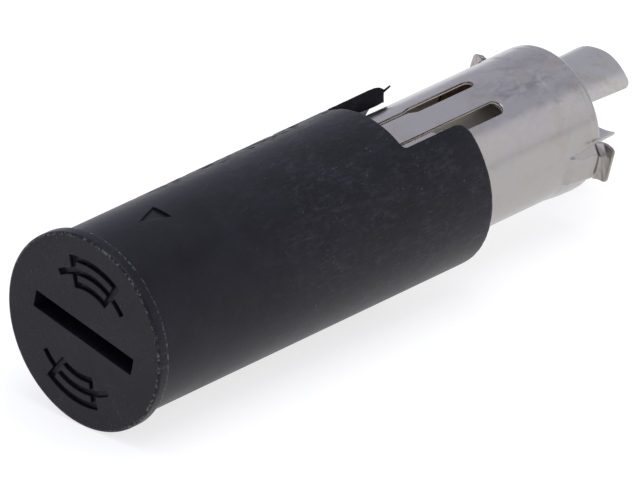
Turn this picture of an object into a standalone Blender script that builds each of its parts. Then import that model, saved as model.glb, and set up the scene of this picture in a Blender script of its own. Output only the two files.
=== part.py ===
"""Carrier of a bayonet cartridge fuse holder, for a 6.3 x 32 mm glass fuse.

Frame: the carrier's axis is +Y, from the slotted front cap to the bayonet lugs at the rear.
The origin is on the axis, in the plane where the cap's flange seats on the panel. +Z is up.
Angles round the axis are measured from straight up (+Z) towards +X. Metres throughout.
"""

import math

import bmesh
import bpy
from mathutils import Vector

MM = 0.001
GAP = 0.06 * MM  # between faces that touch on the real object

# Driving dimensions
FLANGE_RADIUS = 7.0 * MM
FLANGE_THICKNESS = 0.9 * MM
BARREL_RADIUS = 6.58 * MM
BARREL_END = 31.35 * MM
SLEEVE_RADIUS = 5.13 * MM
SLEEVE_END = 43.5 * MM
SHEET = 0.21 * MM
CLIP_END = 48.55 * MM
FUSE_LENGTH = 31.8 * MM
FUSE_RADIUS = 3.175 * MM
FUSE_END = 44.1 * MM

# Front cap
CAP_EDGE = 0.22 * MM
BARREL_SEAT = 0.2 * MM  # depth of the recess in the flange that takes the barrel's front end
SPIGOT_END = 3.0 * MM
SPRING_SEAT = 1.9 * MM
SPRING_SEAT_RADIUS = 4.45 * MM
DRIVER_SLOT_LENGTH = 9.15 * MM
DRIVER_SLOT_WIDTH = 1.27 * MM
DRIVER_SLOT_DEPTH = 1.6 * MM
FACE_TILT = math.radians(12.5)  # the face's marks are turned this far from upright
SYMBOL_INNER = 3.35 * MM
SYMBOL_OUTER = 5.25 * MM
SYMBOL_STROKE = 0.34 * MM
SYMBOL_DEPTH = 0.25 * MM
SYMBOL_BOX = math.radians(26)
SYMBOL_LINE = math.radians(43)

# Barrel
BORE_RADIUS = SLEEVE_RADIUS + 0.08 * MM
REAR_BORE_RADIUS = 5.82 * MM
REAR_BORE_START = 24.0 * MM
REAR_BORE_RAMP = 0.5 * MM
BARREL_EDGE = 0.15 * MM
WINDOW_START = 25.5 * MM
WINDOW_WIDTH = 7.78 * MM
WINDOW_CORNER = 0.4 * MM  # at the window's closed end
WINDOW_MOUTH = 1.0 * MM  # rounding of the barrel's corners where the window opens
MARK_DEPTH = 0.15 * MM
MARK_START = 3.9 * MM
MARK_LENGTH = 2.2 * MM
MARK_HALF = math.radians(7.5)
MARK_CENTRE = math.radians(4)

# Contact sleeve
SLEEVE_START = SPIGOT_END + GAP
FINGER_TIP = 12.25 * MM
FINGER_SLIT = 0.4 * MM  # cut across the finger's tip
FINGER_BEND = 24.0 * MM
FINGER_CONTACT = 15.4 * MM
FINGER_LEAD = 0.3 * MM  # how far the tip turns outward again
FINGER_LOW = math.radians(0.3)  # edge of the finger where its slots are narrow
FINGER_WAIST = math.radians(5)  # the same edge where its slots are wide
FINGER_HIGH = math.radians(25.2)
SLOT_LOW = math.radians(-4.6)  # outer edge of the slot beside FINGER_LOW
SLOT_HIGH = math.radians(28.2)  # outer edge of the other slot where it is narrow
SLOT_HIGH_WIDE = math.radians(38.2)
SLOT_WIDE_START = 30.3 * MM
SLOT_END = SLEEVE_END - 7.35 * MM
BARB_START = 7.2 * MM
BARB_END = 9.6 * MM
BARB_SLIT = 0.3 * MM
BARB_HALF = math.radians(9)
BARB_CUT = math.radians(2.5)
BARB_LIFT = 0.42 * MM
LUG_RADIUS = 6.4 * MM
LUG_CENTRE = math.radians(105)
LUG_HALF = math.radians(15)
LUG_SIDE = math.radians(3)  # angle taken by the slope at each side of the raised strip
LUG_STEP = 0.42 * MM
LUG_START = 40.4 * MM
LUG_RISE = 0.4 * MM  # length of the step up to the raised strip
RIM_CURL = 0.3 * MM

# Parts inside
CUP_WALL = 0.24 * MM
CUP_FLOOR = 0.5 * MM
CUP_SKIRT = 5.6 * MM
FUSE_CLEARANCE = 0.05 * MM
SPRING_WIRE = 0.3 * MM
SPRING_MEAN = 4.0 * MM
SPRING_TURNS = 6.5
SPRING_CLOSED = 0.75  # turns lying close at each end
SPRING_CLOSED_RISE = 0.66 * MM
BOSS_LENGTH = 1.0 * MM
CLIP_SHEET = 0.18 * MM
CLIP_FLARE = 0.03 * MM
CLIP_RING_START = 38.0 * MM
CLIP_SLIT = 42.9 * MM
CLIP_HALF = math.radians(46)  # at the root of a finger
CLIP_TIP_HALF = math.radians(49)
CLIP_CORNER = math.radians(7)
CLIP_CENTRE = math.radians(15)
BUSH_START = 37.8 * MM
BUSH_END = 42.7 * MM
FUSE_CAP_LENGTH = 6.35 * MM
FUSE_CAP_WALL = 0.2 * MM
FUSE_CAP_FLOOR = 0.35 * MM
FUSE_CAP_EDGE = 0.15 * MM
GLASS_WALL = 0.7 * MM
ELEMENT_RADIUS = 0.15 * MM
SOLDER_LENGTH = 1.0 * MM

ROUND = 48  # sides of the larger turned pieces
SMALL_ROUND = 32


def clear_scene():
    for obj in list(bpy.data.objects):
        bpy.data.objects.remove(obj, do_unlink=True)


def material(name, colour, roughness, metallic=0.0, transmission=0.0):
    """A Principled material; colour is linear RGB."""
    made = bpy.data.materials.new(name)
    made.use_nodes = True
    shader = made.node_tree.nodes["Principled BSDF"]
    shader.inputs["Base Color"].default_value = (*colour, 1.0)
    shader.inputs["Roughness"].default_value = roughness
    shader.inputs["Metallic"].default_value = metallic
    shader.inputs["Transmission Weight"].default_value = transmission
    return made


def polar(radius, angle, y):
    """The point at this radius and angle, angle measured from +Z towards +X."""
    return Vector((radius * math.sin(angle), y, radius * math.cos(angle)))


def add_object(name, mesh_data, finish=None):
    """Puts a bmesh into the scene as an object with outward faces, and frees it."""
    bmesh.ops.recalc_face_normals(mesh_data, faces=mesh_data.faces)
    mesh = bpy.data.meshes.new(name)
    mesh_data.to_mesh(mesh)
    mesh_data.free()
    obj = bpy.data.objects.new(name, mesh)
    bpy.context.scene.collection.objects.link(obj)
    if finish:
        mesh.materials.append(finish)
        mesh.shade_smooth()
        mesh.set_sharp_from_angle(angle=math.radians(35))
    return obj


def cut(target, cutter):
    """Takes the cutter out of the target and hides the cutter."""
    cutter.hide_render = True
    cutter.display_type = "WIRE"
    boolean = target.modifiers.new(cutter.name, "BOOLEAN")
    boolean.operation = "DIFFERENCE"
    boolean.solver = "EXACT"
    boolean.object = cutter


def turned(profile, sides):
    """A bmesh turned round the Y axis from a closed outline of (radius, y) points.

    A point with radius 0 lies on the axis and becomes one shared vertex.
    """
    made = bmesh.new()
    rings = []
    for radius, y in profile:
        if radius == 0:
            rings.append([made.verts.new((0, y, 0))] * sides)
        else:
            step = 2 * math.pi / sides
            rings.append([made.verts.new(polar(radius, step * k, y)) for k in range(sides)])
    for low, high in zip(rings, rings[1:] + rings[:1]):
        for k in range(sides):
            after = (k + 1) % sides
            corners = [low[k], low[after], high[after], high[k]]
            corners = list(dict.fromkeys(corners))
            if len(corners) > 2:
                made.faces.new(corners)
    return made


def shell(angles, lengths, is_kept, place):
    """A closed bmesh from a grid of cells bent round the axis, with some cells left out.

    angles and lengths are the grid lines. is_kept(i, j) tells whether a cell is material, and
    place(i, j, side) gives the corner at line i, line j on side 0 (inner) or 1 (outer).
    The grid closes on itself when the last angle is a full turn past the first.
    """
    around = len(angles) - 1
    along = len(lengths) - 1
    wraps = math.isclose(angles[-1] - angles[0], 2 * math.pi)
    made = bmesh.new()
    corners = {}

    def corner(i, j, side):
        key = (i % around if wraps else i, j, side)
        if key not in corners:
            corners[key] = made.verts.new(place(key[0], j, side))
        return corners[key]

    def kept(i, j):
        if wraps:
            i %= around
        return 0 <= i < around and 0 <= j < along and is_kept(i, j)

    for i in range(around):
        for j in range(along):
            if not kept(i, j):
                continue
            ring = [(i, j), (i + 1, j), (i + 1, j + 1), (i, j + 1)]
            made.faces.new([corner(a, b, 1) for a, b in ring])
            made.faces.new([corner(a, b, 0) for a, b in reversed(ring)])
            neighbours = [(i, j - 1), (i + 1, j), (i, j + 1), (i - 1, j)]
            for side, (a, b) in enumerate(neighbours):
                if kept(a, b):
                    continue
                first, second = ring[side], ring[(side + 1) % 4]
                made.faces.new([corner(*second, 1), corner(*first, 1), corner(*first, 0), corner(*second, 0)])
    return made


def grid_lines(marks, step):
    """The marks in order, with even lines added so that no space is wider than step."""
    marks = sorted(marks)
    lines = [marks[0]]
    for start, end in zip(marks, marks[1:]):
        parts = max(1, math.ceil((end - start) / step - 1e-6))
        lines.extend(start + (end - start) * k / parts for k in range(1, parts + 1))
    return lines


def box(name, low, high):
    """A plain box between two corners, as an object."""
    made = bmesh.new()
    bmesh.ops.create_cube(made, size=1.0)
    low, high = Vector(low), Vector(high)
    for vertex in made.verts:
        vertex.co = (low + high) / 2 + vertex.co * (high - low)
    return add_object(name, made)


def fuse_symbol(name, middle):
    """A cutter for the engraved sign: a curved box with a line through it."""
    half = SYMBOL_STROKE / 2
    centre = (SYMBOL_INNER + SYMBOL_OUTER) / 2
    end = SYMBOL_STROKE / centre
    angles = grid_lines(
        [-SYMBOL_LINE, -SYMBOL_BOX, end - SYMBOL_BOX, SYMBOL_BOX - end, SYMBOL_BOX, SYMBOL_LINE],
        math.radians(7),
    )
    radii = [
        SYMBOL_INNER,
        SYMBOL_INNER + SYMBOL_STROKE,
        centre - half,
        centre + half,
        SYMBOL_OUTER - SYMBOL_STROKE,
        SYMBOL_OUTER,
    ]
    line_row = 2

    def is_kept(i, j):
        angle = (angles[i] + angles[i + 1]) / 2
        if j == line_row:
            return True
        if abs(angle) > SYMBOL_BOX:
            return False
        return j in (0, len(radii) - 2) or abs(angle) > SYMBOL_BOX - end

    def place(i, j, side):
        depth = SYMBOL_DEPTH if side else -SYMBOL_DEPTH
        return polar(radii[j], angles[i] + middle, depth - FLANGE_THICKNESS)

    return add_object(name, shell(angles, radii, is_kept, place))


def front_cap(finish):
    """The moulded cap: flange, screwdriver slot, engraved signs, and the spigot with the spring's seat."""
    face = -FLANGE_THICKNESS
    spigot = BORE_RADIUS - GAP
    profile = [
        (0, face),
        (FLANGE_RADIUS - CAP_EDGE, face),
        (FLANGE_RADIUS - CAP_EDGE * 0.3, face + CAP_EDGE * 0.3),
        (FLANGE_RADIUS, face + CAP_EDGE),
        (FLANGE_RADIUS, 0),
        (BARREL_RADIUS + GAP, 0),
        (BARREL_RADIUS + GAP, -BARREL_SEAT),
        (spigot, -BARREL_SEAT),
        (spigot, SPIGOT_END),
        (SPRING_SEAT_RADIUS, SPIGOT_END),
        (SPRING_SEAT_RADIUS, SPRING_SEAT),
        (0, SPRING_SEAT),
    ]
    cap = add_object("front_cap", turned(profile, ROUND), finish)
    half_length = DRIVER_SLOT_LENGTH / 2
    half_width = DRIVER_SLOT_WIDTH / 2
    slot = box(
        "cutter_driver_slot",
        (-half_length, face - DRIVER_SLOT_DEPTH, -half_width),
        (half_length, face + DRIVER_SLOT_DEPTH, half_width),
    )
    slot.rotation_euler = (0, FACE_TILT, 0)
    cut(cap, slot)
    cut(cap, fuse_symbol("cutter_symbol_upper", FACE_TILT))
    cut(cap, fuse_symbol("cutter_symbol_lower", FACE_TILT + math.pi))
    return cap


def index_mark():
    """A cutter for the small engraved triangle near the front of the barrel."""
    made = bmesh.new()
    end = MARK_START + MARK_LENGTH
    outline = [(MARK_CENTRE, MARK_START), (MARK_CENTRE + MARK_HALF, end), (MARK_CENTRE - MARK_HALF, end)]
    rings = []
    for radius in (BARREL_RADIUS - MARK_DEPTH, BARREL_RADIUS + MARK_DEPTH):
        rings.append([made.verts.new(polar(radius, a, y)) for a, y in outline])
    made.faces.new(rings[0])
    made.faces.new(reversed(rings[1]))
    for k in range(len(outline)):
        after = (k + 1) % len(outline)
        made.faces.new([rings[0][after], rings[0][k], rings[1][k], rings[1][after]])
    return add_object("cutter_index_mark", made)


def window_cutter():
    """A block that opens both rear windows, round at its closed end and flared at its mouth."""
    made = bmesh.new()
    half = WINDOW_WIDTH / 2
    height = BARREL_RADIUS + MM
    turns = [math.pi / 2 * step / 4 for step in range(5)]
    mouth_start = BARREL_END - WINDOW_MOUTH
    corner_end = WINDOW_START + WINDOW_CORNER
    edge = [
        (half + WINDOW_MOUTH * (1 - math.cos(turn)), mouth_start + WINDOW_MOUTH * math.sin(turn))
        for turn in reversed(turns)
    ]
    edge += [
        (half - WINDOW_CORNER * (1 - math.cos(turn)), corner_end - WINDOW_CORNER * math.sin(turn))
        for turn in turns
    ]
    edge.insert(0, (half + WINDOW_MOUTH, BARREL_END + MM))
    outline = edge + [(-x, y) for x, y in reversed(edge)]
    rings = [[made.verts.new((x, y, z)) for x, y in outline] for z in (-height, height)]
    made.faces.new(rings[0])
    made.faces.new(reversed(rings[1]))
    for k in range(len(outline)):
        after = (k + 1) % len(outline)
        made.faces.new([rings[0][after], rings[0][k], rings[1][k], rings[1][after]])
    return add_object("cutter_windows", made)


def carrier_tube(finish):
    """The moulded barrel, with a wider rear bore, two windows, and two pockets for the sleeve's barbs."""
    front = GAP - BARREL_SEAT
    profile = [
        (BORE_RADIUS, front),
        (BARREL_RADIUS, front),
        (BARREL_RADIUS, BARREL_END - BARREL_EDGE),
        (BARREL_RADIUS - BARREL_EDGE, BARREL_END),
        (REAR_BORE_RADIUS, BARREL_END),
        (REAR_BORE_RADIUS, REAR_BORE_START + REAR_BORE_RAMP),
        (BORE_RADIUS, REAR_BORE_START),
    ]
    tube = add_object("carrier_tube", turned(profile, ROUND), finish)
    cut(tube, window_cutter())
    pocket_reach = SLEEVE_RADIUS + BARB_LIFT + 0.1 * MM
    pocket_half = pocket_reach * math.sin(BARB_HALF + math.radians(1.5))
    for side, name in ((1, "right"), (-1, "left")):
        ends = sorted((side * pocket_reach, side * (BORE_RADIUS - MM)))
        pocket = box(
            "cutter_pocket_" + name,
            (ends[0], BARB_START - 0.2 * MM, -pocket_half),
            (ends[1], BARB_END + GAP, pocket_half),
        )
        cut(tube, pocket)
    cut(tube, index_mark())
    return tube


def finger_bend(y):
    """How far inward a contact finger stands at this place along it."""
    deepest = SLEEVE_RADIUS - SHEET - (FUSE_RADIUS + FUSE_CLEARANCE + CUP_WALL + GAP)
    if y >= FINGER_BEND:
        return 0.0
    if y >= FINGER_CONTACT:
        return deepest * (FINGER_BEND - y) / (FINGER_BEND - FINGER_CONTACT)
    return deepest - FINGER_LEAD * (FINGER_CONTACT - y) / (FINGER_CONTACT - FINGER_TIP)


def contact_sleeve(finish):
    """The sheet-metal sleeve: two slotted spring fingers, two barbs, and two bayonet lugs at the rim."""
    half_turn = math.pi
    marks = set()
    barb = math.radians(90)
    lug_low = LUG_CENTRE - LUG_HALF
    for turn in (0.0, half_turn):
        marks |= {SLOT_LOW + turn, FINGER_LOW + turn, FINGER_WAIST + turn}
        marks |= {FINGER_HIGH + turn, SLOT_HIGH + turn, SLOT_HIGH_WIDE + turn}
        marks |= {barb - BARB_HALF + turn, barb + BARB_HALF + turn}
        marks |= {barb - BARB_HALF - BARB_CUT + turn, barb + BARB_HALF + BARB_CUT + turn}
        marks |= {lug_low + turn, LUG_CENTRE + LUG_HALF + turn}
        marks |= {lug_low - LUG_SIDE + turn, LUG_CENTRE + LUG_HALF + LUG_SIDE + turn}
    first = min(marks)
    angles = grid_lines(marks | {first + 2 * math.pi}, math.radians(9))
    lengths = grid_lines(
        [
            SLEEVE_START,
            BARB_START,
            BARB_END,
            BARB_END + BARB_SLIT,
            FINGER_TIP - FINGER_SLIT,
            FINGER_TIP,
            FINGER_CONTACT,
            FINGER_BEND,
            SLOT_WIDE_START,
            SLOT_END,
            LUG_START,
            LUG_START + LUG_RISE,
            SLEEVE_END - SHEET,
            SLEEVE_END,
        ],
        8.0 * MM,
    )
    curl_row = len(lengths) - 2

    def between(angle, low, high):
        return (angle - low + 1e-6) % half_turn <= high - low + 2e-6

    def is_kept(i, j):
        angle = (angles[i] + angles[i + 1]) / 2
        y = (lengths[j] + lengths[j + 1]) / 2
        wide = y > SLOT_WIDE_START
        if FINGER_TIP - FINGER_SLIT < y < FINGER_TIP:
            return not between(angle, SLOT_LOW, SLOT_HIGH)
        if FINGER_TIP < y < SLOT_END and between(angle, SLOT_LOW, SLOT_HIGH_WIDE if wide else SLOT_HIGH):
            return between(angle, FINGER_WAIST if wide else FINGER_LOW, FINGER_HIGH)
        cut_half = BARB_HALF + BARB_CUT
        if BARB_START < y < BARB_END + BARB_SLIT and between(angle, barb - cut_half, barb + cut_half):
            return y < BARB_END and between(angle, barb - BARB_HALF, barb + BARB_HALF)
        return True

    def place(i, j, side):
        angle, y = angles[i], lengths[j]
        radius = SLEEVE_RADIUS if side else SLEEVE_RADIUS - SHEET
        if between(angle, FINGER_LOW, FINGER_HIGH) and FINGER_TIP - 1e-9 < y < FINGER_BEND:
            radius -= finger_bend(y)
        if between(angle, barb - BARB_HALF, barb + BARB_HALF) and abs(y - BARB_END) < 1e-9:
            radius += BARB_LIFT
        if between(angle, lug_low, LUG_CENTRE + LUG_HALF) and y > LUG_START + 1e-9:
            radius += LUG_STEP
        elif j > curl_row and not side:
            radius -= RIM_CURL
        return polar(radius, angle, y)

    sleeve = add_object("contact_sleeve", shell(angles, lengths, is_kept, place), finish)
    for turn, name in ((0.0, "right"), (half_turn, "left")):
        union(sleeve, bayonet_lug("helper_lug_" + name, LUG_CENTRE + turn))
    return sleeve


def union(target, helper):
    """Joins the helper to the target as one body and hides the helper."""
    helper.hide_render = True
    helper.display_type = "WIRE"
    boolean = target.modifiers.new(helper.name, "BOOLEAN")
    boolean.operation = "UNION"
    boolean.solver = "EXACT"
    boolean.object = helper


def bayonet_lug(name, centre):
    """The flat ear turned outward at the sleeve's rim."""
    ear_half = LUG_HALF - math.radians(0.4)
    angles = grid_lines([-ear_half, ear_half], math.radians(6))
    inner = SLEEVE_RADIUS + LUG_STEP - SHEET / 2
    radii = [inner, LUG_RADIUS - 0.25 * MM, LUG_RADIUS]
    corner = math.radians(2.5)

    def place(i, j, side):
        angle = angles[i]
        if j == len(radii) - 1:
            angle = max(corner - ear_half, min(ear_half - corner, angle))
        y = SLEEVE_END if side else SLEEVE_END - SHEET * 1.4
        return polar(radii[j], angle + centre, y - 0.005 * MM)

    return add_object(name, shell(angles, radii, lambda i, j: True, place))


def contact_spring(finish):
    """The coil spring, as a wire swept along a helix whose end turns lie flat."""
    start = SPRING_SEAT + GAP + SPRING_WIRE
    end = cup_front() - GAP - SPRING_WIRE
    per_turn = 16
    wire_sides = 6
    steps = int(SPRING_TURNS * per_turn)
    open_turns = SPRING_TURNS - 2 * SPRING_CLOSED
    open_rise = end - start - 2 * SPRING_CLOSED_RISE
    made = bmesh.new()
    rings = []
    for step in range(steps + 1):
        turns = SPRING_TURNS * step / steps
        first = min(1.0, turns / SPRING_CLOSED)
        middle = min(1.0, max(0.0, (turns - SPRING_CLOSED) / open_turns))
        last = max(0.0, (turns - SPRING_CLOSED - open_turns) / SPRING_CLOSED)
        y = start + SPRING_CLOSED_RISE * (first + last) + open_rise * middle
        angle = 2 * math.pi * turns
        ring = []
        for k in range(wire_sides):
            round_wire = 2 * math.pi * k / wire_sides
            radius = SPRING_MEAN + SPRING_WIRE * math.cos(round_wire)
            ring.append(made.verts.new(polar(radius, angle, y + SPRING_WIRE * math.sin(round_wire))))
        rings.append(ring)
    for low, high in zip(rings, rings[1:]):
        for k in range(wire_sides):
            after = (k + 1) % wire_sides
            made.faces.new([low[k], low[after], high[after], high[k]])
    made.faces.new(rings[0])
    made.faces.new(reversed(rings[-1]))
    return add_object("contact_spring", made, finish)


def fuse_start():
    return FUSE_END - FUSE_LENGTH


def cup_front():
    """The face of the cup that the spring pushes on."""
    return fuse_start() - GAP - CUP_FLOOR


def contact_cup(finish):
    """The turned cup: a skirt round the fuse's front cap, a guide flange, and a boss inside the spring."""
    inner = FUSE_RADIUS + FUSE_CLEARANCE
    outer = inner + CUP_WALL
    guide = SLEEVE_RADIUS - SHEET - 0.09 * MM
    boss = SPRING_MEAN - SPRING_WIRE - 0.2 * MM
    front = cup_front()
    floor = front + CUP_FLOOR
    profile = [
        (0, front - BOSS_LENGTH),
        (boss, front - BOSS_LENGTH),
        (boss, front),
        (guide, front),
        (guide, FINGER_TIP - GAP),
        (outer, FINGER_TIP - GAP),
        (outer, floor + CUP_SKIRT),
        (inner, floor + CUP_SKIRT),
        (inner, floor),
        (0, floor),
    ]
    return add_object("contact_cup", turned(profile, ROUND), finish)


def insulator_bush(finish):
    """The insulating ring that holds the rear clip clear of the sleeve."""
    outer = SLEEVE_RADIUS - SHEET - GAP
    inner = clip_radius() + GAP
    profile = [(inner, BUSH_START), (outer, BUSH_START), (outer, BUSH_END), (inner, BUSH_END)]
    return add_object("insulator_bush", turned(profile, ROUND), finish)


def clip_radius():
    return FUSE_RADIUS + FUSE_CLEARANCE + CLIP_SHEET


def fuse_clip(finish):
    """The rear clip: a ring in the bush and two fingers that flare behind the sleeve's rim."""
    centres = (CLIP_CENTRE, CLIP_CENTRE + math.pi)
    marks = {centre + side * CLIP_HALF for centre in centres for side in (-1, 1)}
    angles = grid_lines(marks | {min(marks) + 2 * math.pi}, math.radians(10))
    lengths = [CLIP_RING_START, CLIP_SLIT, CLIP_END - 2.5 * MM, CLIP_END - 0.8 * MM, CLIP_END]

    def in_finger(angle):
        away = (angle - CLIP_CENTRE + math.pi / 2) % math.pi - math.pi / 2
        return abs(away) <= CLIP_HALF + 1e-6

    def is_kept(i, j):
        return lengths[j] < CLIP_SLIT or in_finger((angles[i] + angles[i + 1]) / 2)

    def place(i, j, side):
        along = max(0.0, (lengths[j] - CLIP_SLIT) / (CLIP_END - CLIP_SLIT))
        radius = clip_radius() + CLIP_FLARE * along ** 2
        radius = radius if side else radius - CLIP_SHEET
        if not along:
            return polar(radius, angles[i], lengths[j])
        centre = min(centres, key=lambda c: abs(math.remainder(angles[i] - c, 2 * math.pi)))
        widen = 1 + (CLIP_TIP_HALF / CLIP_HALF - 1) * along
        away = math.remainder(angles[i] - centre, 2 * math.pi)
        if along == 1 and abs(away) > CLIP_HALF - 1e-6:
            widen = (CLIP_TIP_HALF - CLIP_CORNER) / CLIP_HALF
        return polar(radius, centre + away * widen, lengths[j])

    return add_object("fuse_clip", shell(angles, lengths, is_kept, place), finish)


def fuse_cap(name, end, inward, finish):
    """One end cap of the fuse: end is its flat end, inward the direction (+1 or -1) of its open side."""
    bore = FUSE_RADIUS - FUSE_CAP_WALL
    profile = [
        (0, end),
        (FUSE_RADIUS - FUSE_CAP_EDGE, end),
        (FUSE_RADIUS, end + inward * FUSE_CAP_EDGE),
        (FUSE_RADIUS, end + inward * FUSE_CAP_LENGTH),
        (bore, end + inward * FUSE_CAP_LENGTH),
        (bore, end + inward * FUSE_CAP_FLOOR),
        (0, end + inward * FUSE_CAP_FLOOR),
    ]
    return add_object(name, turned(profile, SMALL_ROUND), finish)


def fuse_inside(materials):
    """The glass tube, the solder plug at each end and the fusible wire between them."""
    start = fuse_start() + FUSE_CAP_FLOOR + GAP
    end = FUSE_END - FUSE_CAP_FLOOR - GAP
    outer = FUSE_RADIUS - FUSE_CAP_WALL - GAP
    inner = outer - GLASS_WALL
    glass = [(inner, start), (outer, start), (outer, end), (inner, end)]
    add_object("fuse_glass", turned(glass, SMALL_ROUND), materials["glass"])
    plug = inner - GAP
    wire_start = start + SOLDER_LENGTH + GAP
    wire_end = end - SOLDER_LENGTH - GAP
    for name, low in (("fuse_front_solder", start), ("fuse_rear_solder", end - SOLDER_LENGTH)):
        outline = [(0, low), (plug, low), (plug, low + SOLDER_LENGTH), (0, low + SOLDER_LENGTH)]
        add_object(name, turned(outline, 20), materials["solder"])
    wire = [(0, wire_start), (ELEMENT_RADIUS, wire_start), (ELEMENT_RADIUS, wire_end), (0, wire_end)]
    add_object("fuse_element", turned(wire, 8), materials["element"])


def main():
    clear_scene()
    materials = {
        "plastic": material("black_plastic", (0.022, 0.022, 0.027), 0.45),
        "nickel": material("nickel_plate", (0.55, 0.53, 0.50), 0.28, 1.0),
        "bright": material("bright_nickel", (0.62, 0.60, 0.57), 0.2, 1.0),
        "steel": material("spring_steel", (0.35, 0.35, 0.36), 0.3, 1.0),
        "phenolic": material("brown_phenolic", (0.11, 0.05, 0.025), 0.55),
        "glass": material("fuse_glass", (0.95, 0.97, 0.96), 0.03, 0.0, 1.0),
        "solder": material("solder", (0.45, 0.45, 0.46), 0.45, 1.0),
        "element": material("element_wire", (0.6, 0.58, 0.52), 0.3, 1.0),
    }
    front_cap(materials["plastic"])
    carrier_tube(materials["plastic"])
    contact_sleeve(materials["nickel"])
    contact_spring(materials["steel"])
    contact_cup(materials["bright"])
    insulator_bush(materials["phenolic"])
    fuse_clip(materials["nickel"])
    fuse_cap("fuse_front_cap", fuse_start(), 1, materials["bright"])
    fuse_cap("fuse_rear_cap", FUSE_END, -1, materials["bright"])
    fuse_inside(materials)


main()
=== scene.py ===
"""Looks of the cartridge fuse carrier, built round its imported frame.

The carrier's axis is +Y: slotted front cap at -Y, bayonet lugs and clip fingers at +Y. +Z is up.
Angles round the axis run from straight up (+Z) towards +X. Lengths are in metres.
"""

import math

import bmesh
import bpy
from mathutils import Matrix, Vector, noise


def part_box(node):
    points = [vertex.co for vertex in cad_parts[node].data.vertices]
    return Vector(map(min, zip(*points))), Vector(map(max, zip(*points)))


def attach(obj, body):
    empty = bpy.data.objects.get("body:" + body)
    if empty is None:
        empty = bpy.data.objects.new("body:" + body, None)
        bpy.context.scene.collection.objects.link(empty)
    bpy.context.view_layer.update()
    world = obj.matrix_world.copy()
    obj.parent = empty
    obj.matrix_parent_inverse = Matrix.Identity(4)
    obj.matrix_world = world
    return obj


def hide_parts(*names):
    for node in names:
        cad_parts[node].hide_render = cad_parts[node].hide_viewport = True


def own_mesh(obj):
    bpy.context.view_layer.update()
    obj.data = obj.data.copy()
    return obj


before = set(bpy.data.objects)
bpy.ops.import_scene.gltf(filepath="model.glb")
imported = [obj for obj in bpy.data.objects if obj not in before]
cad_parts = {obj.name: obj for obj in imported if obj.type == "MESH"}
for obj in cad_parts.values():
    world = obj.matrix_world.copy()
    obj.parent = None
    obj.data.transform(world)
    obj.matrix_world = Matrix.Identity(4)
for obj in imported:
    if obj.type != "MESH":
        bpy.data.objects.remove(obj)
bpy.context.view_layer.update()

MM = 0.001
DEGREE = math.pi / 180
TAU = 2 * math.pi
TINY = 1e-6  # for comparing grid lines

cap_low, cap_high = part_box("front_cap")
tube_low, tube_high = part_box("carrier_tube")
sleeve_low, sleeve_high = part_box("contact_sleeve")
clip_low, clip_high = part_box("fuse_clip")
bush_low, bush_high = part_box("insulator_bush")
cup_low, cup_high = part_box("contact_cup")
spring_low, spring_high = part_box("contact_spring")
front_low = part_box("fuse_front_cap")[0]
rear_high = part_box("fuse_rear_cap")[1]
glass_low, glass_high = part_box("fuse_glass")

FACE = cap_low.y
FLANGE_RADIUS = cap_high.x
BARREL_RADIUS = tube_high.x
BARREL_END = tube_high.y
SLEEVE_RADIUS = sleeve_high.z - 0.003 * MM
SLEEVE_END = sleeve_high.y
LUG_RADIUS = 6.4 * MM
SHEET = 0.21 * MM
CLIP_RADIUS = clip_high.z
CLIP_END = clip_high.y
FUSE_RADIUS = rear_high.x

FACE_TILT = 12.5 * DEGREE  # the slot and the engraved signs are turned this far
FINGER_TIP = 12.25 * MM
FINGER_BEND = 24.0 * MM
FINGER_LOW = 1.4 * DEGREE  # the finger's edge where its slots are narrow
FINGER_WAIST = 5 * DEGREE  # the same edge where they are wide
FINGER_HIGH = 25.2 * DEGREE
SLOT_LOW = -3.5 * DEGREE  # outer edge of the slot beside FINGER_LOW, and the same where it is wide
SLOT_LOW_WIDE = -5.6 * DEGREE
SLOT_HIGH = 28.0 * DEGREE  # outer edge of the other slot
SLOT_HIGH_WIDE = 38.4 * DEGREE
SLOT_STEP = 29.65 * MM
SLOT_STEP_LENGTH = 1.0 * MM
SLOT_END = SLEEVE_END - 7.34 * MM
SLOT_END_ROUNDING = 0.5 * MM
STRIP_START = 40.3 * MM  # the raised strips before the lugs
LUG_CENTRE = 103.5 * DEGREE
LUG_HALF = 15.2 * DEGREE
CLIP_CENTRE = 15 * DEGREE


# ---------------------------------------------------------------- mesh helpers


def polar(radius, angle, y):
    """The point at this radius and angle, angle measured from +Z towards +X."""
    return Vector((radius * math.sin(angle), y, radius * math.cos(angle)))


def smooth(low, high, value):
    """0 below low, 1 above high, and an even S between."""
    share = min(1.0, max(0.0, (value - low) / (high - low)))
    return share * share * (3 - 2 * share)


def place_in_scene(name, made):
    """Turns a finished bmesh into an object of that name."""
    mesh = bpy.data.meshes.new(name)
    made.to_mesh(mesh)
    made.free()
    mesh.shade_smooth()
    obj = bpy.data.objects.new(name, mesh)
    bpy.context.scene.collection.objects.link(obj)
    return obj


def rounded(corners, steps=5):
    """(radius, y, rounding) corners as (radius, y) points, with each rounding turned into an arc."""
    points = []
    for k, (x, y, size) in enumerate(corners):
        here = Vector((x, y))
        if size == 0:
            points.append(here)
            continue
        before = (Vector(corners[k - 1][:2]) - here).normalized()
        after = (Vector(corners[(k + 1) % len(corners)][:2]) - here).normalized()
        half = before.angle(after) / 2
        centre = here + (before + after).normalized() * size / math.sin(half)
        start = here + before * size / math.tan(half) - centre
        end = here + after * size / math.tan(half) - centre
        points.extend(centre + start.lerp(end, s / steps).normalized() * size for s in range(steps + 1))
    return points


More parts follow.
